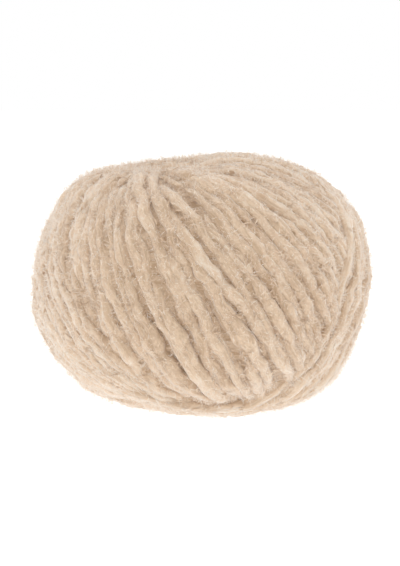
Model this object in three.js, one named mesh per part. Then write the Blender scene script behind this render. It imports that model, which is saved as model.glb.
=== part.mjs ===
// A ball of thick brushed knitting yarn, wound on a leaning spindle and resting on a small flat spot.
// Millimetres, +Z up. The origin is on the resting surface, under the middle of the ball.
import * as THREE from "three";

const toRadians = THREE.MathUtils.degToRad;

// The ball: an ellipse in plan, with a fuller side under its widest level than over it.
const ballWidth = 119; // along X
const ballDepth = 108; // along Y
const crownHeight = 43.2; // widest level to the top
const crownFullness = 2.25; // 2 is an ellipse, and more is boxier
const bellyHeight = 50; // widest level to the bottom that the flat spot cuts off
const bellyFullness = 2.45;
const restHeight = 48.9; // widest level to the flat spot

// The winding: every turn runs from near one end of the spindle to near the other and back.
const spindleLean = toRadians(22.4); // towards -X, measured on the unit ball
const meanClearance = toRadians(6.5); // by which a turn misses the spindle's end
const clearanceSwing = toRadians(4); // more than the mean on the front's right, less on its left
const twistCount = 40; // main twists round the ball, each of two turns side by side
const twistRelief = 1.5; // crest above valley at the widest level
const twistSwell = 0.3; // share by which the relief differs from twist to twist
const twistWander = 0.3; // of a twist's width, sideways

// The hollow that the spindle leaves at each end.
const pit = { depth: 4, angle: toRadians(9) };

// Broad swells and dips of the hand-soft ball, seen from the front: angle is from +X towards +Z.
const swells = [
  { angle: toRadians(104), rise: -5.5 }, // beside the spindle's upper end
  { angle: toRadians(135), rise: 1.4 },
  { angle: toRadians(153), rise: -1 },
  { angle: toRadians(196), rise: 2 },
  { angle: toRadians(302), rise: 2.2 }, // over the spindle's lower end
  { angle: toRadians(338), rise: -1.8 },
];
const swellSpread = toRadians(17);
const swellRun = 0.6; // less than 1 makes them longer from front to back than sideways

// Two creases, where later turns lie over the ends of earlier ones. bearing is the turn's direction
// round the spindle, clearance is by how much the turn misses the end, and low and high say how far
// along it the crease shows: -1 is the lower end of the spindle and 1 the upper end.
const creases = [
  { bearing: toRadians(-42), clearance: toRadians(14), low: -0.95, high: 0.5, depth: 2.1 },
  { bearing: toRadians(-118), clearance: toRadians(30), low: -0.95, high: -0.26, depth: 2.1 },
];
const creaseWidth = toRadians(5.5);
const creaseFade = 0.2; // length of the fade at each end of a crease, on the same scale

// The mesh follows the twists.
const columnsPerTwist = 4;
const rowCount = 34;
const capRings = 1;

const spindle = new THREE.Vector3(-Math.sin(spindleLean), 0, Math.cos(spindleLean));
const sideways = new THREE.Vector3(Math.cos(spindleLean), 0, Math.sin(spindleLean));
const backwards = new THREE.Vector3(0, 1, 0);

// A unit vector at right angles to the spindle.
function aroundSpindle(bearing) {
  return sideways
    .clone()
    .multiplyScalar(Math.cos(bearing))
    .addScaledVector(backwards, Math.sin(bearing));
}

// The normal of a turn's plane on the unit ball.
function turnNormal(bearing, clearance) {
  return aroundSpindle(bearing)
    .multiplyScalar(Math.cos(clearance))
    .addScaledVector(spindle, Math.sin(clearance));
}

// How far the turn that crosses the ball's middle at `bearing` misses the spindle's end.
function turnClearance(bearing) {
  return meanClearance + clearanceSwing * Math.cos(bearing);
}

// The point at arc `along` of the turn that crosses the ball's middle at `bearing`.
function turnPoint(bearing, along) {
  const clearance = turnClearance(bearing);
  const start = aroundSpindle(bearing);
  const ahead = new THREE.Vector3().crossVectors(spindle, start);
  const end = spindle
    .clone()
    .multiplyScalar(Math.cos(clearance))
    .addScaledVector(ahead, -Math.sin(clearance));
  return start.multiplyScalar(Math.cos(along)).addScaledVector(end, Math.sin(along));
}

function bump(distance, width) {
  return Math.exp(-((distance / width) ** 2));
}

// Height of the broad form at a point of the unit ball: its swells, less the spindle's hollows.
function formHeight(onBall) {
  const fromEnd = Math.acos(Math.min(1, Math.abs(onBall.dot(spindle))));
  let height = -pit.depth * bump(fromEnd, pit.angle);
  for (const { angle, rise } of swells) {
    const middle = new THREE.Vector3(Math.cos(angle), 0, Math.sin(angle));
    const place = new THREE.Vector3(onBall.x, onBall.y * swellRun, onBall.z);
    height += rise * bump(place.angleTo(middle), swellSpread);
  }
  return height;
}

// How deep the creases are at a point of the unit ball. They are on its front only.
function creaseDepth(onBall) {
  const level = onBall.dot(spindle);
  const front = THREE.MathUtils.smoothstep(-onBall.y, 0, creaseFade);
  let depth = 0;
  for (const crease of creases) {
    const side = Math.asin(onBall.dot(turnNormal(crease.bearing, crease.clearance)));
    const shown =
      THREE.MathUtils.smoothstep(level, crease.low, crease.low + creaseFade) *
      (1 - THREE.MathUtils.smoothstep(level, crease.high - creaseFade, crease.high));
    depth = Math.max(depth, crease.depth * front * shown * bump(side, creaseWidth));
  }
  return depth;
}

// Height of the twists' surface, 0 on a crest: round crests with sharp valleys between them.
function twistHeight(column, along) {
  const twist = column / columnsPerTwist;
  const clearance = turnClearance((2 * Math.PI * twist) / twistCount);
  const spacing = Math.hypot(Math.cos(along), Math.sin(along) * Math.sin(clearance));
  const swell = 1 + twistSwell * Math.sin(2.4 * Math.round(twist) + 1.3 * along);
  return twistRelief * swell * spacing * (Math.abs(Math.cos(Math.PI * twist)) - 1);
}

// Sideways drift of the twists, as an angle round the spindle. It repeats after a full round.
function twistDrift(column, along) {
  const bearing = (2 * Math.PI * column) / (twistCount * columnsPerTwist);
  const width = (2 * Math.PI) / twistCount;
  return twistWander * width * Math.sin(9 * bearing + 2 * along) * Math.cos(along);
}

// A point of the unit ball, brought to the real ball's surface and moved out by `height`.
function onSurface(onBall, height) {
  const flat = Math.hypot(onBall.x, onBall.y);
  const upper = onBall.z >= 0;
  const fullness = upper ? crownFullness : bellyFullness;
  const reach = upper ? crownHeight : bellyHeight;
  const rise = Math.abs(onBall.z * restHeight) / reach;
  const scale = (flat ** fullness + rise ** fullness) ** (-1 / fullness);
  const point = onBall
    .clone()
    .multiply(new THREE.Vector3(ballWidth / 2, ballDepth / 2, restHeight))
    .multiplyScalar(scale);
  const radius = point.length() + height;
  point.setLength(radius);
  if (point.z < -restHeight) point.multiplyScalar(restHeight / -point.z);
  return point;
}

// Rows of points from the lower end of the spindle to the upper one.
function ballRows() {
  const columns = twistCount * columnsPerTwist;
  const rows = [];
  const quarter = Math.PI / 2;
  for (let row = 0; row <= rowCount; row++) {
    const along = -quarter + (2 * quarter * row) / rowCount;
    const points = [];
    for (let column = 0; column < columns; column++) {
      const bearing = (2 * Math.PI * column) / columns + twistDrift(column, along);
      const onBall = turnPoint(bearing, along);
      const height = formHeight(onBall) + twistHeight(column, along) - creaseDepth(onBall);
      points.push(onSurface(onBall, height));
    }
    rows.push(points);
  }
  return rows;
}

// The rings that close a hollow's floor, from its rim inwards, and the point in its middle.
function capRows(end) {
  const columns = twistCount * columnsPerTwist;
  const centre = spindle.clone().multiplyScalar(end);
  const rings = [];
  for (let ring = 1; ring <= capRings; ring++) {
    const share = 1 - ring / (capRings + 1);
    const points = [];
    for (let column = 0; column < columns; column++) {
      const rim = turnPoint((2 * Math.PI * column) / columns, (end * Math.PI) / 2);
      const onBall = centre.clone().lerp(rim, share).normalize();
      points.push(onSurface(onBall, formHeight(onBall)));
    }
    rings.push(points);
  }
  return { rings, middle: onSurface(centre, formHeight(centre)) };
}

// The wound ball as one closed mesh.
function ballGeometry() {
  const columns = twistCount * columnsPerTwist;
  const lower = capRows(-1);
  const upper = capRows(1);
  const rows = [...lower.rings.reverse(), ...ballRows(), ...upper.rings];
  const positions = [];
  for (const point of [...rows.flat(), lower.middle, upper.middle]) {
    positions.push(point.x, point.y, point.z);
  }
  const index = [];
  for (let row = 0; row + 1 < rows.length; row++) {
    for (let column = 0; column < columns; column++) {
      const next = (column + 1) % columns;
      const a = row * columns + column;
      const b = row * columns + next;
      const c = a + columns;
      const d = b + columns;
      index.push(a, b, d, a, d, c);
    }
  }
  const lowerMiddle = rows.length * columns;
  const upperMiddle = lowerMiddle + 1;
  const lastRow = (rows.length - 1) * columns;
  for (let column = 0; column < columns; column++) {
    const next = (column + 1) % columns;
    index.push(lowerMiddle, next, column);
    index.push(upperMiddle, lastRow + column, lastRow + next);
  }
  const geometry = new THREE.BufferGeometry();
  geometry.setAttribute("position", new THREE.Float32BufferAttribute(positions, 3));
  geometry.setIndex(index);
  geometry.computeVertexNormals();
  return geometry;
}

// Puts the origin under the middle of the ball, at the level of the flat spot.
function standOnOrigin(geometry) {
  geometry.computeBoundingBox();
  const { min, max } = geometry.boundingBox;
  return geometry.translate(-(min.x + max.x) / 2, -(min.y + max.y) / 2, -min.z);
}

const yarn = new THREE.MeshStandardMaterial({ color: 0xdcc3a4, roughness: 0.95, metalness: 0 });

const ball = new THREE.Mesh(standOnOrigin(ballGeometry()), yarn);
ball.name = "yarn_ball";

const group = new THREE.Group();
group.add(ball);

export default group;
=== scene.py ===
import bpy
import numpy as np
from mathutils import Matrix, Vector, kdtree


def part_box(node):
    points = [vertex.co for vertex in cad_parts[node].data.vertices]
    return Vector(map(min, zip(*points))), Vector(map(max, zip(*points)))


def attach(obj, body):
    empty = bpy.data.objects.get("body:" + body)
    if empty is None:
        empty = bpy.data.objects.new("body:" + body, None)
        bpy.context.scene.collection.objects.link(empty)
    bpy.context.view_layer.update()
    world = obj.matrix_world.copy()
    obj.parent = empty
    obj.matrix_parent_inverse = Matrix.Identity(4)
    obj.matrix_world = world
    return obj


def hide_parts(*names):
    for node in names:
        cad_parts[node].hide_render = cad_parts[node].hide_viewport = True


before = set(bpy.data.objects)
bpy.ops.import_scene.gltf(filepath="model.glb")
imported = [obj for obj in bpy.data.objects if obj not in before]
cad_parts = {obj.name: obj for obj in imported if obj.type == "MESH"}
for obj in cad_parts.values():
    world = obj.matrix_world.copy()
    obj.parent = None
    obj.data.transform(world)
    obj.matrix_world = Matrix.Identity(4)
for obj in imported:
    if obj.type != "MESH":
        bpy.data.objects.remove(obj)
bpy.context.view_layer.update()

# A ball of thick brushed knitting yarn. The winding is worked out in millimetres and brought to metres
# when a mesh is made. Each turn of yarn runs from near one end of a leaning spindle to near the other
# and back, and later turns lie over earlier ones.

boxLow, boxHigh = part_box("yarn_ball")
random = np.random.default_rng(20)
metres = 0.001
boxSize = (boxHigh - boxLow) / metres

# The form of the ball, in millimetres, taken from the solid's box.
ball = {
    "width": boxSize.x * 0.992,
    "depth": boxSize.y * 1.001,
    "crownHeight": boxSize.z * 0.474,  # widest level to the top
    "crownFullness": 2.25,  # 2 is an ellipse, and more is boxier
    "bellyHeight": boxSize.z * 0.5486,
    "bellyFullness": 2.45,
    "restHeight": boxSize.z * 0.5365,  # widest level to the flat spot
    "lean": np.radians(22.4),  # of the spindle, towards -X
    "pitDepth": 7.0,  # the hollow at each end of the spindle
    "pitAngle": np.radians(11),
    "swellSpread": np.radians(17),
    "swellRun": 0.6,  # less than 1 makes a swell longer from front to back than sideways
    "meanDiameter": 106,  # of a turn of yarn
    "formPoints": 36000,  # on which the height of the winding is kept
    "placePoints": 4000,  # from which the middle of the form is found
}

# Broad swells and dips seen from the front: the angle in degrees from +X towards +Z, and the rise.
swells = {90: -1.5, 105: -8.0, 135: 1.2, 153: -1.4, 196: 1.2, 262: -2.8, 283: -2.4, 303: 2.4, 336: -1.8}

spindle = np.array([-np.sin(ball["lean"]), 0, np.cos(ball["lean"])])
sideways = np.array([np.cos(ball["lean"]), 0, np.sin(ball["lean"])])
backwards = np.array([0.0, 1.0, 0.0])


def lengths(vectors):
    return np.linalg.norm(vectors, axis=-1, keepdims=True)


def unit(vectors):
    return vectors / np.maximum(lengths(vectors), 1e-9)


def bump(distance, width):
    return np.exp(-((distance / width) ** 2))


def formHeight(onBall):
    # The swells, less the hollows at the spindle's ends.
    fromEnd = np.arccos(np.clip(np.abs(onBall @ spindle), 0, 1))
    height = -ball["pitDepth"] * bump(fromEnd, ball["pitAngle"])
    for angle, rise in swells.items():
        middle = np.array([np.cos(np.radians(angle)), 0, np.sin(np.radians(angle))])
        away = np.arccos(np.clip(unit(onBall * [1, ball["swellRun"], 1]) @ middle, -1, 1))
        height = height + rise * bump(away, ball["swellSpread"])
    return height


def onSurface(onBall, height):
    # Brings points of the unit ball to the real ball's surface, and out by height.
    flat = np.hypot(onBall[..., 0], onBall[..., 1])
    upper = onBall[..., 2] >= 0
    fullness = np.where(upper, ball["crownFullness"], ball["bellyFullness"])
    reach = np.where(upper, ball["crownHeight"], ball["bellyHeight"])
    rise = np.abs(onBall[..., 2]) * ball["restHeight"] / reach
    scale = (flat**fullness + rise**fullness) ** (-1 / fullness)
    half = np.array([ball["width"] / 2, ball["depth"] / 2, ball["restHeight"]])
    point = onBall * half * scale[..., None]
    radius = lengths(point)[..., 0]
    point = point * ((radius + height + formHeight(onBall)) / radius)[..., None]
    low = point[..., 2] < -ball["restHeight"]
    squeeze = np.where(low, ball["restHeight"] / np.maximum(-point[..., 2], 1), 1)
    return point * squeeze[..., None]


def outwardFrom(onBall):
    # The direction straight out of the smooth ball, at points of the unit ball.
    return unit(onBall / [ball["width"] / 2, ball["depth"] / 2, ball["restHeight"]])


def evenPoints(count):
    # Points spread evenly over the unit ball.
    share = (np.arange(count) + 0.5) / count
    tilt = np.arccos(1 - 2 * share)
    goldenTurn = np.pi * (1 + 5**0.5)
    turn = goldenTurn * np.arange(count)
    return np.stack([np.cos(turn) * np.sin(tilt), np.sin(turn) * np.sin(tilt), np.cos(tilt)], 1)


def waver(count, spread):
    # Smooth random values of unit size, which change over about `spread` samples.
    values = np.fft.rfft(random.standard_normal(count))
    rate = np.fft.rfftfreq(count)
    values = np.fft.irfft(values * bump(rate * np.pi * spread * 2**0.5, 1), count)
    return values / values.std()


def smoothed(values, spread):
    # A running mean with soft ends, over about `spread` samples, of an open row of values.
    reach = int(3 * spread) + 1
    weights = bump(np.arange(-reach, reach + 1), spread * 2**0.5)
    padded = np.pad(values, reach, mode="edge")
    return np.convolve(padded, weights / weights.sum(), mode="valid")


# The winding. Angles are in degrees, lengths in millimetres.
winding = {
    "turns": 94,
    "samplesPerTurn": 250,
    "spacing": 4.35,  # degrees round the spindle from turn to turn
    "spacingJitter": 0.2,  # of the spacing
    "spacingRun": 0.22,  # share of a turn over which the jitter changes
    "clearanceJitter": 1.3,
    "clearanceRun": 0.3,
    "wander": 0.55,  # sideways
    "wanderRun": 0.07,
    "tremble": 0.5,  # finer wander, as a share of the wander
    "trembleSamples": 5,
    "push": 4.5,  # of the newest turns to the right, on the ball's right side
    "pushedAt": 3.0,  # where on the turn, in radians
    "pushSpread": 0.5,  # how far along the turn it reaches, in radians
    "pushEnd": 25,  # degrees before the last turn, where the push has died away
    "thickness": 2.6,  # of one layer
    "halfFootprint": 2.3,
    "support": 0.7,  # share of the half footprint that bears a turn on what is under it
    "coverReach": 0.95,  # share of it over which a sample's cover is looked for
    "mostLayers": 5,  # that lie on each other where the turns meet
    "bridging": 5.0,  # length over which a turn spans the ones under it
    "settling": 0.5,  # share of the bridging by which the laid turns are smoothed again
    "levelling": 9.0,  # distance over which the ball's outside is level
    "levelReach": 2.0,  # distance over which one round of levelling takes its mean
    "fieldReach": 2.4,  # distance over which a value kept at the form points is read
    "sink": 2.0,  # of the winding into the form
    "deepest": 2.2,  # layers below the outside
}
stepLength = np.pi * ball["meanDiameter"] / winding["samplesPerTurn"]  # from one sample to the next

# The bearing of a turn's plane, and by how much it misses the spindle's end, for turns so many degrees
# before the last one. The last 74 degrees lie as a band round the ball's edge, over the ends of the
# turns that cross its front.
bearingAt = {0: -116, 74: -44, 79: -52, 409: 278}
clearanceAt = {
    0: 29, 6: 26, 20: 24, 45: 22, 62: 20, 74: 14, 79: -3, 90: 0, 100: -2, 112: -3, 122: -1, 131: 1,
    140: 7, 155: 7, 163: 10, 172: 14, 185: 16, 200: 12, 230: 5, 260: 0, 420: 3,
}


def windingPath():
    # The yarn's line on the unit ball, from the oldest turn to the newest, and each turn's plane.
    perTurn = winding["samplesPerTurn"]
    count = winding["turns"] * perTurn
    along = 2 * np.pi * np.arange(count) / perTurn
    back = (along[-1] - along) / (2 * np.pi) * winding["spacing"]
    jitter = winding["spacing"] * winding["spacingJitter"] * waver(count, perTurn * winding["spacingRun"])
    bearing = np.radians(np.interp(back, list(bearingAt), list(bearingAt.values())) + jitter)
    clearance = np.interp(back, list(clearanceAt), list(clearanceAt.values()))
    jitter = winding["clearanceJitter"] * waver(count, perTurn * winding["clearanceRun"])
    clearance = np.radians(clearance + jitter)
    ahead = np.cos(bearing)[:, None] * sideways + np.sin(bearing)[:, None] * backwards
    start = np.sin(bearing)[:, None] * sideways - np.cos(bearing)[:, None] * backwards
    end = np.cos(clearance)[:, None] * spindle - np.sin(clearance)[:, None] * ahead
    across = np.cos(clearance)[:, None] * ahead + np.sin(clearance)[:, None] * spindle
    onBall = np.cos(along)[:, None] * start + np.sin(along)[:, None] * end
    wander = waver(count, perTurn * winding["wanderRun"])
    wander = wander + winding["tremble"] * waver(count, winding["trembleSamples"])
    fromSide = np.mod(along - winding["pushedAt"] + np.pi, 2 * np.pi) - np.pi
    push = winding["push"] * bump(fromSide, winding["pushSpread"])
    drift = winding["wander"] * wander - push * np.clip(1 - back / winding["pushEnd"], 0, 1)
    onBall = unit(onBall + across * (drift * 2 / ball["width"])[:, None])
    return onBall, across, back


def nearby(tree, points, radius):
    # For each point, the indices of the tree's points within the radius, and how far they are.
    found = [tree.find_range(Vector(point), radius) for point in points]
    counts = np.array([len(row) for row in found])
    which = np.array([hit[1] for row in found for hit in row])
    away = np.array([hit[2] for row in found for hit in row])
    return which, away, np.repeat(np.arange(len(points)), counts), counts


def piledHeights(onBall, formPoints):
    # Lays the yarn turn by turn, oldest first, and returns how high each sample of it lies, how high the
    # outside ends up at each form point, and how thickly each sample is covered.
    tree = kdtree.KDTree(len(formPoints))
    for index, point in enumerate(formPoints):
        tree.insert(Vector(point), index)
    tree.balance()
    stride = 2  # samples from one that is laid to the next
    line = onSurface(onBall[::stride], 0)
    which, away, owner, counts = nearby(tree, line, winding["halfFootprint"])
    first = np.concatenate([[0], np.cumsum(counts)])
    profile = np.sqrt(np.clip(1 - (away / winding["halfFootprint"]) ** 2, 0, 1))
    support = bump(away, winding["halfFootprint"] * winding["support"])
    height = np.zeros(len(formPoints))
    laid = np.zeros(len(line))
    chunk = winding["samplesPerTurn"] // (2 * stride)  # half a turn
    spread = winding["bridging"] / (stepLength * stride)
    most = winding["mostLayers"] * winding["thickness"]

    def stamp(low, high):
        rows = slice(first[low], first[high])
        at = laid[owner[rows]]
        thick = winding["thickness"] * (1 - at / most)
        np.maximum.at(height, which[rows], at + thick * profile[rows])

    waiting = None
    for low in range(0, len(line), chunk):
        high = min(low + chunk, len(line))
        rows = slice(first[low], first[high])
        weight = np.bincount(owner[rows] - low, support[rows], high - low)
        total = np.bincount(owner[rows] - low, support[rows] * height[which[rows]], high - low)
        laid[low:high] = smoothed(total / np.maximum(weight, 1e-6), spread)
        if waiting:
            stamp(*waiting)
        waiting = (low, high)
    stamp(*waiting)
    laid = smoothed(laid, spread * winding["settling"])
    thick = winding["thickness"] * (1 - laid / most)

    # How high the outside is over each sample, where it is lowest near the sample's middle.
    near = away < winding["halfFootprint"] * winding["coverReach"]
    lowest = np.full(len(line), 1e9)
    np.minimum.at(lowest, owner[near], height[which[near]])
    cover = lowest - laid - thick
    whole = np.arange(len(onBall)) / stride
    samples = np.arange(len(line))
    spreadOut = [np.interp(whole, samples, row) for row in (laid, thick, cover)]
    return spreadOut, height, tree


def levelled(height, formPoints, tree):
    # The outside of the winding, levelled over a wide stretch.
    which, away, owner, counts = nearby(tree, formPoints, winding["levelReach"])
    rounds = int(round(winding["levelling"] ** 2))  # one round levels over about a millimetre
    for _ in range(rounds):
        height = np.bincount(owner, height[which], len(formPoints)) / counts
    return height


print("winding")
onBall, planeNormal, back = windingPath()
formBall = evenPoints(ball["formPoints"])
formPoints = onSurface(formBall, 0)
(laid, thick, cover), outside, formTree = piledHeights(onBall, formPoints)
level = levelled(outside, formPoints, formTree)
print("winding laid:", len(onBall), "samples, outside", round(outside.mean(), 2), "mm over the core")


# Meshes. A tube is a row of rings round a line, closed by a point at each end.
fibreSides = 3
strandArc = (-32, 212)  # degrees that a strand's ring of points spans, from its right side over its top
tipReach = 0.5  # steps from a strand's last ring to its end point


def ringAngles(sides):
    # A fibre's points are spread evenly. A strand's are closer together on its outer side, which shows.
    if sides == fibreSides:
        return 2 * np.pi * np.arange(sides) / sides
    return np.radians(np.linspace(*strandArc, sides))


def tubes(centre, across, out, halfWidth, halfHeight, uvLow, uvSize, tips=None):
    # centre, across and out are (tubes, rings, 3), and the half sizes (tubes, rings, sides).
    count, rings, sides = halfWidth.shape
    angle = ringAngles(sides)
    ring = (
        centre[:, :, None]
        + across[:, :, None] * (np.cos(angle) * halfWidth)[..., None]
        + out[:, :, None] * (np.sin(angle) * halfHeight)[..., None]
    )
    if tips is None:
        first = (1 + tipReach) * centre[:, 0] - tipReach * centre[:, 1]
        last = (1 + tipReach) * centre[:, -1] - tipReach * centre[:, -2]
        tips = np.stack([first, last], 1)
    points = np.concatenate([ring.reshape(count, rings * sides, 3), tips], 1)
    perTube = rings * sides + 2
    base = np.arange(count)[:, None, None, None] * perTube
    ringStart = (np.arange(rings - 1) * sides)[:, None, None]
    side = np.arange(sides)[None, :, None]
    corners = np.array([[0, 0], [0, 1], [1, 1], [1, 0]])  # ring, side
    quads = base + ringStart + corners[:, 0] * sides + (side + corners[:, 1]) % sides
    fan = np.arange(sides)
    after = (fan + 1) % sides
    lastRing = (rings - 1) * sides
    startFan = np.stack([np.full(sides, rings * sides), after, fan], 1)
    endFan = np.stack([np.full(sides, rings * sides + 1), lastRing + fan, lastRing + after], 1)
    fans = base[:, 0] + np.concatenate([startFan, endFan])[None]

    # Where each corner lies on the tube's own patch of the map: along it, and round it.
    alongQuad = (np.arange(rings - 1)[:, None, None] + 1 + corners[:, 0]) / (rings + 1)
    roundQuad = (side + corners[:, 1]) / sides
    alongQuad, roundQuad = np.broadcast_arrays(alongQuad, roundQuad)
    quadMap = np.stack([alongQuad, roundQuad], -1)
    alongFan = np.tile([0, 1, 1], (sides, 1)) / (rings + 1)
    startMap = np.stack([alongFan, np.stack([fan + 0.5, fan + 1, fan], 1) / sides], -1)
    endMap = np.stack([1 - alongFan, np.stack([fan + 0.5, fan, fan + 1], 1) / sides], -1)
    fanMap = np.concatenate([startMap, endMap])
    quadMap = uvLow[:, None, None, None] + quadMap[None] * uvSize[:, None, None, None]
    fanMap = uvLow[:, None, None] + fanMap[None] * uvSize[:, None, None]
    return {
        "points": points.reshape(-1, 3),
        "quads": quads.reshape(-1, 4),
        "fans": fans.reshape(-1, 3),
        "quadMap": quadMap.reshape(-1, 2),
        "fanMap": fanMap.reshape(-1, 2),
        "perTube": perTube,
    }


def joined(parts):
    # Several sets of tubes as one.
    shift = np.cumsum([0] + [len(part["points"]) for part in parts])
    whole = {}
    for name in parts[0]:
        if name in ("quads", "fans"):
            whole[name] = np.concatenate([part[name] + at for part, at in zip(parts, shift)])
        elif name != "perTube":
            whole[name] = np.concatenate([part[name] for part in parts])
    return whole


def meshObject(name, part, material, smooth=True):
    # Turns arrays into a mesh in metres, with the map and every other array as a point attribute.
    points = part["points"] + ballPlace
    points[:, 2] = np.maximum(points[:, 2], restClearance)
    mesh = bpy.data.meshes.new(name)
    corners = np.concatenate([part["quads"].ravel(), part["fans"].ravel()])
    sizes = np.concatenate([np.full(len(part["quads"]), 4), np.full(len(part["fans"]), 3)])
    mesh.vertices.add(len(points))
    mesh.vertices.foreach_set("co", (points * metres).astype(np.float32).ravel())
    mesh.loops.add(len(corners))
    mesh.loops.foreach_set("vertex_index", corners.astype(np.int32))
    mesh.polygons.add(len(sizes))
    starts = np.concatenate([[0], np.cumsum(sizes)[:-1]])
    mesh.polygons.foreach_set("loop_start", starts.astype(np.int32))
    mesh.polygons.foreach_set("use_smooth", np.full(len(sizes), smooth))
    layer = mesh.uv_layers.new(name="OFBake")
    places = np.concatenate([part["quadMap"], part["fanMap"]])
    layer.uv.foreach_set("vector", places.astype(np.float32).ravel())
    for key in ("strand", "tone", "outward"):
        if key in part:
            kind = "FLOAT_VECTOR" if part[key].ndim == 2 else "FLOAT"
            field = "vector" if part[key].ndim == 2 else "value"
            attribute = mesh.attributes.new(key, kind, "POINT")
            attribute.data.foreach_set(field, part[key].astype(np.float32).ravel())
    mesh.update()
    mesh.validate()
    piece = bpy.data.objects.new(name, mesh)
    bpy.context.scene.collection.objects.link(piece)
    mesh.materials.append(material)
    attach(piece, "root")
    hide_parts("yarn_ball")
    triangles = 2 * len(part["quads"]) + len(part["fans"])
    print(name, "has", triangles, "triangles")


# The yarn itself: lumpy, brushed strands laid along the winding.
yarn = {
    "halfWidth": 2.1,
    "halfHeight": 1.8,
    "sides": 8,
    "slubs": 0.15,  # slow changes of thickness, as a share
    "slubLength": 9.0,
    "lumps": 0.08,
    "lumpLength": 2.6,
    "knots": 0.10,  # lumps on one side of the strand
    "knotLength": 1.1,  # in samples along the strand
    "knotWidth": 0.9,  # in points round it
    "thinnest": 0.45,  # share of the half width and half height
    "thickest": 1.6,
    "crimp": 0.36,  # sideways
    "crimpRise": 0.6,  # the same outwards, as a share of it
    "crimpSamples": 1.6,  # over which it changes
    "tone": 0.36,  # 0 is deep, 0.5 middle and 1 pale
    "toneChanges": {30: 0.07, 4: 0.05},  # by how much the tone changes, over so many millimetres
    "paintedCrestShading": 0.11,  # painted light and shade: by which a crest is paler than its sides
    "shadedTo": -0.3,  # how far down its sides the painted shade darkens a strand, where 1 is its crest
    "endTone": 0.3,  # of a run's two end points
    "bandTone": 0.1,  # by which the newest turns are paler
    "bandEnd": 74,  # degrees before the last turn
    "hiddenBelow": 0.9,  # layers of cover past which a strand is left out
    "lap": 2,  # samples by which each end of a run reaches in under its cover
    "shortestRun": 8,
}
restClearance = 0.02  # of the lowest wool over the floor


def settled(height):
    # Heights over the winding's level, with the deep ones drawn up, as heights over the form.
    most = winding["deepest"] * winding["thickness"]
    height = np.where(height < 0, -most * (1 - np.exp(height / most)), height)
    return height - winding["sink"]


def strandFrames():
    # The strands' middle line, and the directions across and out of them.
    stride = 4  # samples from one at which the level is read to the next
    aside = 0.01  # a short step across the strand, on the unit ball
    crimp, crimpSamples = yarn["crimp"], yarn["crimpSamples"]
    count = len(onBall)
    height = settled(laid + thick / 2 - fieldAt(level, onSurface(onBall[::stride], 0), count))
    shift = crimp * waver(count, crimpSamples) * 2 / ball["width"]
    shifted = unit(onBall + planeNormal * shift[:, None])
    centre = onSurface(shifted, height + yarn["crimpRise"] * crimp * waver(count, crimpSamples))
    beside = onSurface(unit(shifted + planeNormal * aside), height) - onSurface(shifted, height)
    tangent = unit(np.gradient(onSurface(onBall, height), axis=0))
    out = unit(np.cross(tangent, beside))
    out *= np.sign((out * centre).sum(1, keepdims=True))
    across = unit(np.cross(out, tangent))
    return centre, across, out


def fieldAt(values, places, count=None):
    # A value kept at the form points, as a mean round each place, and drawn out to count samples.
    which, away, owner, counts = nearby(formTree, places, winding["fieldReach"])
    mean = np.bincount(owner, values[which], len(counts)) / np.maximum(counts, 1)
    if count is None:
        return mean
    return np.interp(np.arange(count), np.arange(len(counts)) * count / len(counts), mean)


def roughField(count, sides, alongSpread, roundSpread):
    # Smooth random values over a tube's skin, which meet all round it.
    values = np.fft.rfft2(random.standard_normal((sides, count)))
    rateRound = np.fft.fftfreq(sides)[:, None]
    rateAlong = np.fft.rfftfreq(count)[None]
    reach = np.hypot(rateRound * roundSpread, rateAlong * alongSpread) * np.pi * 2**0.5
    values = np.fft.irfft2(values * bump(reach, 1), (sides, count)).T
    return values / values.std()


def makeYarn():
    # The strands' lines, their sizes and tones, and the runs of samples that aren't hidden.
    centre, across, out = strandFrames()
    count, sides = len(centre), yarn["sides"]
    size = 1 + yarn["slubs"] * waver(count, yarn["slubLength"] / stepLength)
    size = size + yarn["lumps"] * waver(count, yarn["lumpLength"] / stepLength / 2)
    knots = yarn["knots"] * roughField(count, sides, yarn["knotLength"], yarn["knotWidth"])
    skin = np.clip(size[:, None] + knots, yarn["thinnest"], yarn["thickest"])
    halfWidth = yarn["halfWidth"] * skin
    halfHeight = yarn["halfHeight"] * skin
    shown = cover < yarn["hiddenBelow"] * winding["thickness"]
    grown = np.convolve(shown, np.ones(2 * yarn["lap"] + 1), mode="same") > 0
    edges = np.flatnonzero(np.diff(np.concatenate([[0], grown.astype(int), [0]])))
    runs = [run for run in edges.reshape(-1, 2) if run[1] - run[0] >= yarn["shortestRun"]]
    tone = yarn["tone"]
    for length, change in yarn["toneChanges"].items():
        tone = tone + change * waver(count, length / stepLength)
    tone = tone + yarn["bandTone"] * (back < yarn["bandEnd"])
    return centre, across, out, size, halfWidth, halfHeight, tone, runs


def placeOfBall():
    # Where the middle of the form stands, with the flat spot on the floor.
    surface = onSurface(evenPoints(ball["placePoints"]), 0)
    middle = -(surface.min(axis=0) + surface.max(axis=0)) / 2
    return np.array([middle[0], middle[1], ball["restHeight"]])


print("strands")
ballPlace = placeOfBall()
centre, across, out, girth, halfWidth, halfHeight, strandTone, runs = makeYarn()
print("runs", len(runs), "rings", sum(run[1] - run[0] for run in runs))


def addNode(tree, kind, values=None, **settings):
    # A shader node with some inputs and settings given. A value may be another node's output.
    node = tree.nodes.new(kind)
    for name, value in settings.items():
        setattr(node, name, value)
    for name, value in (values or {}).items():
        if isinstance(value, bpy.types.NodeSocket):
            tree.links.new(value, node.inputs[name])
        else:
            node.inputs[name].default_value = value
    return node


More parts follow.
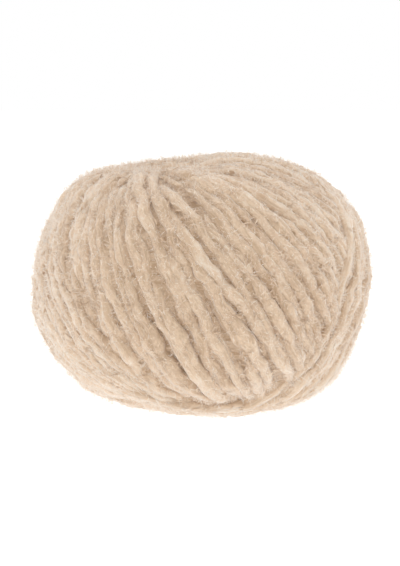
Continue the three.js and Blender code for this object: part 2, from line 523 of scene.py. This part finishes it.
wool = {
    # deep is the darkest colour, which the painted shade in the partings reaches
    "deep": (0.50, 0.34, 0.215),
    "middle": (0.77, 0.58, 0.41),
    "contrast": 0.65,
    "partings": 0.75,  # painted shade: how far the partings darken the wool
    "fibres": 0.55,  # share of the fibres in the grain, where the rest is clumps
    "clumpScale": 0.55,
    "fibreScale": 1.3,
    "roughness": 0.92,
    "specular": 0.15,
    "sheen": 1.0,
    "sheenTint": (1.0, 1.0, 1.0),
    "sheenRoughness": 0.5,
    "bumpDepth": 0.0006,
}
# The noise under each part of the grain. A small stretch makes it long along the strand, and low and high
# are the values of the noise that come out as 0 and 1.
woolGrain = {
    "clumps": {"stretch": 0.6, "detail": 2.0, "distortion": 0.3, "low": 0.3, "high": 0.7},
    "fibres": {"stretch": 0.45, "detail": 3.0, "distortion": 1.2, "low": 0.3, "high": 0.7},
    "partings": {"stretch": 0.16, "detail": 1.0, "distortion": 0.6, "low": 0.36, "high": 0.46},
    "roughness": 0.6,
}
# lift shifts the colour towards pale, nap is how far the light is caught by fluff that stands straight
# out of the ball, and bump is the strength of the grain's relief.
woolLooks = {
    "strandWool": {"pale": (0.90, 0.79, 0.66), "lift": 0.0, "nap": 0.2, "bump": 0.6},
    "tuftWool": {"pale": (0.90, 0.79, 0.66), "lift": 0.15, "nap": 0.2, "bump": 0.3},
    "fluffWool": {"pale": (0.95, 0.895, 0.825), "lift": 0.25, "nap": 0.0, "bump": 0.0},
}


def woolGrainGroup():
    # Clumps, fibres and thin parting lines of wool, drawn along the strand, with painted shade in the
    # partings.
    # Shade goes from 0 in the partings to 1 on the crests, and the same value is the relief's height.
    group = bpy.data.node_groups.new("woolGrain", "ShaderNodeTree")
    for name, kind, side in (
        ("Strand", "NodeSocketVector", "INPUT"),
        ("Clump Scale", "NodeSocketFloat", "INPUT"),
        ("Fibre Scale", "NodeSocketFloat", "INPUT"),
        ("Shade", "NodeSocketFloat", "OUTPUT"),
        ("Height", "NodeSocketFloat", "OUTPUT"),
    ):
        group.interface.new_socket(name, in_out=side, socket_type=kind)
    entry = group.nodes.new("NodeGroupInput")
    leave = group.nodes.new("NodeGroupOutput")

    def grainOf(part, scale):
        values = woolGrain[part]
        longer = addNode(group, "ShaderNodeVectorMath", {
            0: entry.outputs["Strand"], 1: (values["stretch"], 1, 1),
        }, operation="MULTIPLY")
        noise = addNode(group, "ShaderNodeTexNoise", {
            "Vector": longer.outputs[0], "Scale": entry.outputs[scale], "Detail": values["detail"],
            "Roughness": woolGrain["roughness"], "Distortion": values["distortion"],
        })
        ranged = addNode(group, "ShaderNodeMapRange", {
            "Value": noise.outputs["Fac"], "From Min": values["low"], "From Max": values["high"],
        })
        return ranged.outputs["Result"]

    clumps = grainOf("clumps", "Clump Scale")
    fibres = grainOf("fibres", "Fibre Scale")
    partings = grainOf("partings", "Clump Scale")
    fleece = addNode(group, "ShaderNodeMix", {
        "Factor": wool["fibres"], 2: clumps, 3: fibres,
    }, data_type="FLOAT")
    cut = addNode(group, "ShaderNodeMath", {0: fleece.outputs[0], 1: partings}, operation="MULTIPLY")
    shade = addNode(group, "ShaderNodeMix", {
        "Factor": wool["partings"], 2: fleece.outputs[0], 3: cut.outputs[0],
    }, data_type="FLOAT")
    for name in ("Shade", "Height"):
        group.links.new(shade.outputs[0], leave.inputs[name])
    return group


def woolMaterial(name, grain):
    # Brushed wool, coloured by its grain and by the attribute tone, both of which carry painted shade too.
    look = woolLooks[name]
    material = bpy.data.materials.new(name)
    material.use_nodes = True
    tree = material.node_tree
    tree.nodes.clear()
    strand = addNode(tree, "ShaderNodeAttribute", attribute_name="strand")
    tone = addNode(tree, "ShaderNodeAttribute", attribute_name="tone")
    mask = addNode(tree, "ShaderNodeGroup", node_tree=grain)
    tree.links.new(strand.outputs["Vector"], mask.inputs["Strand"])
    mask.inputs["Clump Scale"].default_value = wool["clumpScale"]
    mask.inputs["Fibre Scale"].default_value = wool["fibreScale"]
    shade = addNode(tree, "ShaderNodeMath", {
        0: mask.outputs["Shade"], 1: wool["contrast"], 2: tone.outputs["Fac"],
    }, operation="MULTIPLY_ADD")
    lifted = addNode(tree, "ShaderNodeMath", {0: shade.outputs[0], 1: look["lift"] - wool["contrast"] / 2})
    ramp = addNode(tree, "ShaderNodeValToRGB")
    tree.links.new(lifted.outputs[0], ramp.inputs["Fac"])
    ends = ramp.color_ramp.elements
    ends[0].color = (*wool["deep"], 1)
    ends[1].color = (*look["pale"], 1)
    middle = ends.new(0.5)
    middle.color = (*wool["middle"], 1)
    shader = addNode(tree, "ShaderNodeBsdfPrincipled", {
        "Base Color": ramp.outputs["Color"], "Roughness": wool["roughness"],
        "Specular IOR Level": wool["specular"], "Sheen Weight": wool["sheen"],
        "Sheen Tint": (*wool["sheenTint"], 1), "Sheen Roughness": wool["sheenRoughness"],
    })
    outward = addNode(tree, "ShaderNodeAttribute", attribute_name="outward")
    turned = addNode(tree, "ShaderNodeVectorTransform", {
        "Vector": outward.outputs["Vector"],
    }, vector_type="NORMAL", convert_from="OBJECT", convert_to="WORLD")
    meshNormal = addNode(tree, "ShaderNodeNewGeometry")
    brushed = addNode(tree, "ShaderNodeMix", {
        "Factor": look["nap"], 4: meshNormal.outputs["Normal"], 5: turned.outputs["Vector"],
    }, data_type="VECTOR")
    normal = addNode(tree, "ShaderNodeVectorMath", {0: brushed.outputs[1]}, operation="NORMALIZE")
    normal = normal.outputs[0]
    if look["bump"]:
        relief = addNode(tree, "ShaderNodeBump", {
            "Strength": look["bump"], "Distance": wool["bumpDepth"], "Height": mask.outputs["Height"],
            "Normal": normal,
        })
        normal = relief.outputs["Normal"]
    tree.links.new(normal, shader.inputs["Normal"])
    leave = tree.nodes.new("ShaderNodeOutputMaterial")
    tree.links.new(shader.outputs[0], leave.inputs["Surface"])
    return material


# A run's strip of the map, as shares of the map's width and of the strip's row.
strip = {"left": 0.002, "width": 0.996, "low": 0.05, "height": 0.9}


def yarnParts():
    # Each run of samples as one tube on its own strip of the map.
    parts = []
    longest = max(run[1] - run[0] for run in runs)
    angle = ringAngles(yarn["sides"])
    for row, (first, last) in enumerate(runs):
        pick = slice(first, last)
        corner = [strip["left"], (row + strip["low"]) / len(runs)]
        size = [strip["width"] * (last - first) / longest, strip["height"] / len(runs)]
        part = tubes(
            centre[None, pick], across[None, pick], out[None, pick],
            halfWidth[None, pick], halfHeight[None, pick], np.array([corner]), np.array([size]),
        )
        along = np.arange(first, last)[:, None] * stepLength
        strand = [along, yarn["halfWidth"] * np.cos(angle), yarn["halfWidth"] * np.sin(angle)]
        strand = np.stack(np.broadcast_arrays(*strand), -1).reshape(-1, 3)
        # Each ring's tone: the strand's own, with painted light on its crest and painted shade down its
        # sides.
        tone = strandTone[pick, None] + yarn["paintedCrestShading"] * np.maximum(np.sin(angle), yarn["shadedTo"])
        outward = np.repeat(outwardFrom(onBall[pick]), yarn["sides"], axis=0)
        part["strand"] = np.concatenate([strand, strand[[0, -1]]])
        part["tone"] = np.concatenate([tone.ravel(), [yarn["endTone"]] * 2])
        part["outward"] = np.concatenate([outward, outwardFrom(onBall[[first, last - 1]])])
        parts.append(part)
    return parts


print("wool")
grain = woolGrainGroup()
strandWool = woolMaterial("strandWool", grain)
parts = yarnParts()
shares = np.cumsum([len(part["quads"]) for part in parts])
middlePart = int(np.searchsorted(shares, shares[-1] / 2))
meshObject("yarn_under", joined(parts[:middlePart]), strandWool)
meshObject("yarn_over", joined(parts[middlePart:]), strandWool)


fill = {
    "rings": 110,
    "sides": 190,
    "under": 0.28,  # layers under the winding's outside, on the whole
    "lift": 1.0,  # over that
    "roughness": 0.2,
    # painted shade: the fill is darker than the strands, so that the gaps between them look shaded
    "tone": 0.24,
}


def makeFill():
    # A closed body of brushed wool round which the strands lie, so that it closes the gaps between them.
    # Its darker tone is painted shade in the gaps between the strands.
    rings, sides = fill["rings"], fill["sides"]
    tilt = np.linspace(0, np.pi, rings + 2)[1:-1]
    turn = 2 * np.pi * np.arange(sides) / sides
    flat = [np.sin(tilt)[:, None] * np.cos(turn), np.sin(tilt)[:, None] * np.sin(turn)]
    grid = np.stack(np.broadcast_arrays(*flat, np.cos(tilt)[:, None]), -1).reshape(-1, 3)
    grid = np.concatenate([grid, [[0, 0, 1.0], [0, 0, -1.0]]])
    height = fieldAt(outside - level, onSurface(grid, 0)) - fill["under"] * winding["thickness"]
    height = settled(height)
    height = height + fill["lift"] + fill["roughness"] * random.standard_normal(len(grid))
    points = onSurface(grid, height)
    ring = np.arange(rings - 1)[:, None] * sides
    side = np.arange(sides)
    after = (side + 1) % sides
    quads = np.stack([ring + side, ring + sides + side, ring + sides + after, ring + after], -1)
    quads = quads.reshape(-1, 4)
    top, bottom = rings * sides, rings * sides + 1
    last = (rings - 1) * sides
    fans = np.concatenate([
        np.stack([np.full(sides, top), side, after], 1),
        np.stack([np.full(sides, bottom), last + after, last + side], 1),
    ])
    places = np.stack(np.broadcast_arrays(turn / (2 * np.pi), tilt[:, None] / np.pi), -1).reshape(-1, 2)
    places = np.concatenate([places, [[0.5, 0.0], [0.5, 1.0]]])
    quadMap = places[quads].copy()
    wrap = quads[:, 2] % sides == 0
    quadMap[wrap, 2:, 0] = 1.0
    return {
        "points": points,
        "quads": quads,
        "fans": fans,
        "quadMap": quadMap.reshape(-1, 2),
        "fanMap": places[fans].reshape(-1, 2),
        "strand": points,
        "tone": np.full(len(points), fill["tone"]),
        "outward": outwardFrom(grid),
    }


print("fill")
meshObject("yarn_fill", makeFill(), strandWool)


# Fibres brushed out of the yarn. Tufts lie along the strands and bridge them, and fluff stands off them.
# This is what they have in common.
brushing = {
    "cover": 0.5,  # layers of cover past which a strand grows none
    "thinFavour": 1.6,  # more than 1 makes thin fibres commoner than thick ones
    "shoulder": 0.75,  # share of a strand's half width past which its skin's height is held
    "waves": 1.2,  # along a fibre
    "sinkCurve": 3,  # more keeps the sinking nearer to the fibre's ends
    "patchMargin": 0.1,  # round a fibre's patch of the map, as a share of it
    "grainShift": 50,  # furthest that a fibre's grain lies from the strand's own
}
tufts = {
    "pieces": 1,
    "count": 16000,  # in each piece
    "rings": 2,
    "length": (1.5, 5.0),
    "radius": (0.14, 0.42),
    "flatness": 0.6,
    "beside": 1.2,  # furthest from the strand's middle line, as a share of its half width
    "heading": np.radians(50),  # spread away from the strand's own direction
    "climb": (0.0, 0.0),  # angle at which it leaves the strand
    "climbPower": 1.0,
    "lift": (-0.15, 0.25),
    "sunkEnds": 0.35,
    "wave": 0.3,
    "tone": (-0.15, 0.25),  # against the strand's own
    "paintedValleyShade": -0.2,  # painted shade: a tone change, darker for those lying beside the strand's top, towards the valleys
}
fluff = {
    "pieces": 2,
    "count": 31000,
    "rings": 1,
    "length": (1.4, 3.8),
    "radius": (0.05, 0.085),
    "flatness": 1.0,
    "beside": 0.75,
    "heading": np.radians(70),
    "climb": (np.radians(8), np.radians(80)),
    "climbPower": 1.1,  # more than 1 makes low fibres commoner than high ones
    "lift": (-0.15, 0.1),
    "sunkEnds": 0.0,
    "wave": 0.3,
    "tone": (0.05, 0.55),
    "paintedValleyShade": 0.0,
}


def spreadOver(bounds, count, power=1.0):
    return bounds[0] + (bounds[1] - bounds[0]) * random.random(count) ** power


def skinHeight(beside, size):
    # How high the strand's skin is over its middle line, at a distance beside it. Past the strand's
    # shoulder the height is held, so that a fibre spans the valley to the next strand.
    share = np.minimum(np.abs(beside) / (yarn["halfWidth"] * size), brushing["shoulder"])
    return yarn["halfHeight"] * size * np.sqrt(1 - share**2)


def makeFibres(settings):
    # Fibres at random places of the strands that show. One that climbs starts at its strand, and one that
    # doesn't has its middle there.
    count, rings = settings["count"], settings["rings"]
    pool = np.flatnonzero(cover < brushing["cover"] * winding["thickness"])
    start = random.choice(pool, count)
    off = random.uniform(-settings["beside"], settings["beside"], count)
    beside = yarn["halfWidth"] * girth[start] * off
    heading = settings["heading"] * random.standard_normal(count) + np.pi * (random.random(count) < 0.5)
    climb = spreadOver(settings["climb"], count, settings["climbPower"])
    length = spreadOver(settings["length"], count)
    radius = spreadOver(settings["radius"], count, brushing["thinFavour"])
    lift = spreadOver(settings["lift"], count)
    share = np.arange(rings + 2) / (rings + 1)
    run = length[:, None] * (share - (0 if climb.any() else 0.5))
    phase = share * brushing["waves"] + random.random(count)[:, None]
    wave = settings["wave"] * np.sin(2 * np.pi * phase)
    ahead = run * np.cos(climb)[:, None]
    along = ahead * np.cos(heading)[:, None] - wave * np.sin(heading)[:, None]
    aside = beside[:, None] + ahead * np.sin(heading)[:, None] + wave * np.cos(heading)[:, None]
    lastPlace = len(centre) - 1.001  # just before the last sample
    place = np.clip(start[:, None] + along / stepLength, 0, lastPlace)
    low = place.astype(int)
    part = (place - low)[..., None]
    middle, side, up = [row[low] * (1 - part) + row[low + 1] * part for row in (centre, across, out)]
    rise = skinHeight(np.where(climb[:, None] > 0, beside[:, None], aside), girth[low]) + lift[:, None]
    rise = rise + run * np.sin(climb)[:, None]
    rise = rise - settings["sunkEnds"] * np.abs(2 * share - 1) ** brushing["sinkCurve"]
    line = middle + side * aside[..., None] + up * rise[..., None]
    tangent = unit(np.gradient(line, axis=1))
    side = unit(np.cross(up, tangent))[:, 1:-1]
    up = np.cross(tangent[:, 1:-1], side)
    taper = np.sin(np.pi * share[1:-1])[None, :, None] ** 0.5
    size = np.repeat(radius[:, None, None] * taper, fibreSides, axis=2)
    cells = int(np.ceil(count**0.5))
    cell = np.stack([np.arange(count) % cells, np.arange(count) // cells], 1)
    corner = (cell + brushing["patchMargin"]) / cells
    patch = np.full((count, 2), (1 - 2 * brushing["patchMargin"]) / cells)
    part = tubes(
        line[:, 1:-1], side, up, size, size * settings["flatness"], corner, patch, line[:, [0, -1]],
    )
    # A fibre's tone: its strand's, changed at random, with painted shade for those lying towards the
    # valleys.
    tone = strandTone[start] + spreadOver(settings["tone"], count) + settings["paintedValleyShade"] * off**2
    part["tone"] = np.repeat(tone, part["perTube"])
    shift = random.uniform(-brushing["grainShift"], brushing["grainShift"], (count, 3))
    part["strand"] = part["points"] + np.repeat(shift, part["perTube"], axis=0)
    part["outward"] = np.repeat(outwardFrom(onBall[start]), part["perTube"], axis=0)
    return part


print("fibres")
tuftWool = woolMaterial("tuftWool", grain)
fluffWool = woolMaterial("fluffWool", grain)
for number in range(tufts["pieces"]):
    meshObject("tufts_" + str(number + 1), makeFibres(tufts), tuftWool, smooth=False)
for number in range(fluff["pieces"]):
    meshObject("fluff_" + str(number + 1), makeFibres(fluff), fluffWool, smooth=False)


# The picture: a camera at the photo's angle, a pale floor that glows softly, and a white room.
camera = {
    "distance": 1.0,
    "elevation": np.radians(5.5),  # over the level of the ball
    "frameWidth": 0.1414,  # across the picture at the ball
    "frameShape": 566 / 400,  # height by width
    "sensor": 36.0,
    "aim": Vector((-0.0003, 0.0, 0.0453)),
    "nearest": 0.05,
    "furthest": 20,
}
studio = {
    "sideLight": 1.22,  # of the room beside the ball
    "dimming": 1.35,  # by which the room is dimmer in front of it and behind it
    "topLight": 0.38,  # by which the room is brighter overhead
    "dimmest": 0.05,  # of the room, which stays this bright in front and behind
    "floorRadius": 3.0,
    "floorSides": 64,
    "floorColour": 0.1,
    "floorRoughness": 0.8,
    "floorGlow": 1.26,
}


def makeCamera():
    data = bpy.data.cameras.new("camera")
    data.sensor_width = camera["sensor"]
    frameHeight = camera["frameWidth"] * camera["frameShape"]
    data.lens = camera["sensor"] * camera["distance"] / frameHeight
    data.clip_start = camera["nearest"]
    data.clip_end = camera["furthest"]
    eye = bpy.data.objects.new("camera", data)
    bpy.context.scene.collection.objects.link(eye)
    away = Vector((0, -np.cos(camera["elevation"]), np.sin(camera["elevation"])))
    eye.location = camera["aim"] + away * camera["distance"]
    eye.rotation_mode = "QUATERNION"
    eye.rotation_quaternion = (-away).to_track_quat("-Z", "Y")
    bpy.context.scene.camera = eye


def makeFloor():
    mesh = bpy.data.meshes.new("floor")
    radius, sides = studio["floorRadius"], studio["floorSides"]
    turn = 2 * np.pi * np.arange(sides) / sides
    rim = [(radius * np.cos(angle), radius * np.sin(angle), 0.0) for angle in turn]
    mesh.from_pydata(rim, [], [list(range(sides))])
    floor = bpy.data.objects.new("floor", mesh)
    bpy.context.scene.collection.objects.link(floor)
    material = bpy.data.materials.new("paleFloor")
    material.use_nodes = True
    shader = material.node_tree.nodes["Principled BSDF"]
    shader.inputs["Base Color"].default_value = (*[studio["floorColour"]] * 3, 1)
    shader.inputs["Roughness"].default_value = studio["floorRoughness"]
    shader.inputs["Specular IOR Level"].default_value = 0.0
    shader.inputs["Emission Color"].default_value = (1, 1, 1, 1)
    shader.inputs["Emission Strength"].default_value = studio["floorGlow"]
    mesh.materials.append(material)


def makeRoom():
    # A room that looks white all round, and lights the ball most from beside it and overhead.
    world = bpy.data.worlds.new("room")
    world.use_nodes = True
    tree = world.node_tree
    tree.nodes.clear()
    place = addNode(tree, "ShaderNodeTexCoord")
    apart = addNode(tree, "ShaderNodeSeparateXYZ", {"Vector": place.outputs["Generated"]})
    endOn = addNode(tree, "ShaderNodeMath", {
        0: apart.outputs["Y"], 1: apart.outputs["Y"],
    }, operation="MULTIPLY")
    beside = addNode(tree, "ShaderNodeMath", {
        0: endOn.outputs[0], 1: -studio["dimming"], 2: studio["sideLight"],
    }, operation="MULTIPLY_ADD")
    overhead = addNode(tree, "ShaderNodeMath", {
        0: apart.outputs["Z"], 1: studio["topLight"], 2: beside.outputs[0],
    }, operation="MULTIPLY_ADD")
    strength = addNode(tree, "ShaderNodeMath", {
        0: overhead.outputs[0], 1: studio["dimmest"],
    }, operation="MAXIMUM")
    light = addNode(tree, "ShaderNodeBackground", {"Strength": strength.outputs[0]})
    light.inputs["Color"].default_value = (1, 1, 1, 1)
    white = addNode(tree, "ShaderNodeBackground", {"Strength": 1.0})
    white.inputs["Color"].default_value = (1, 1, 1, 1)
    path = addNode(tree, "ShaderNodeLightPath")
    chosen = addNode(tree, "ShaderNodeMixShader", {"Fac": path.outputs["Is Camera Ray"]})
    tree.links.new(light.outputs[0], chosen.inputs[1])
    tree.links.new(white.outputs[0], chosen.inputs[2])
    addNode(tree, "ShaderNodeOutputWorld", {"Surface": chosen.outputs[0]})
    bpy.context.scene.world = world
    bpy.context.scene.view_settings.view_transform = "Standard"


print("camera, floor and room")
makeCamera()
makeFloor()
makeRoom()
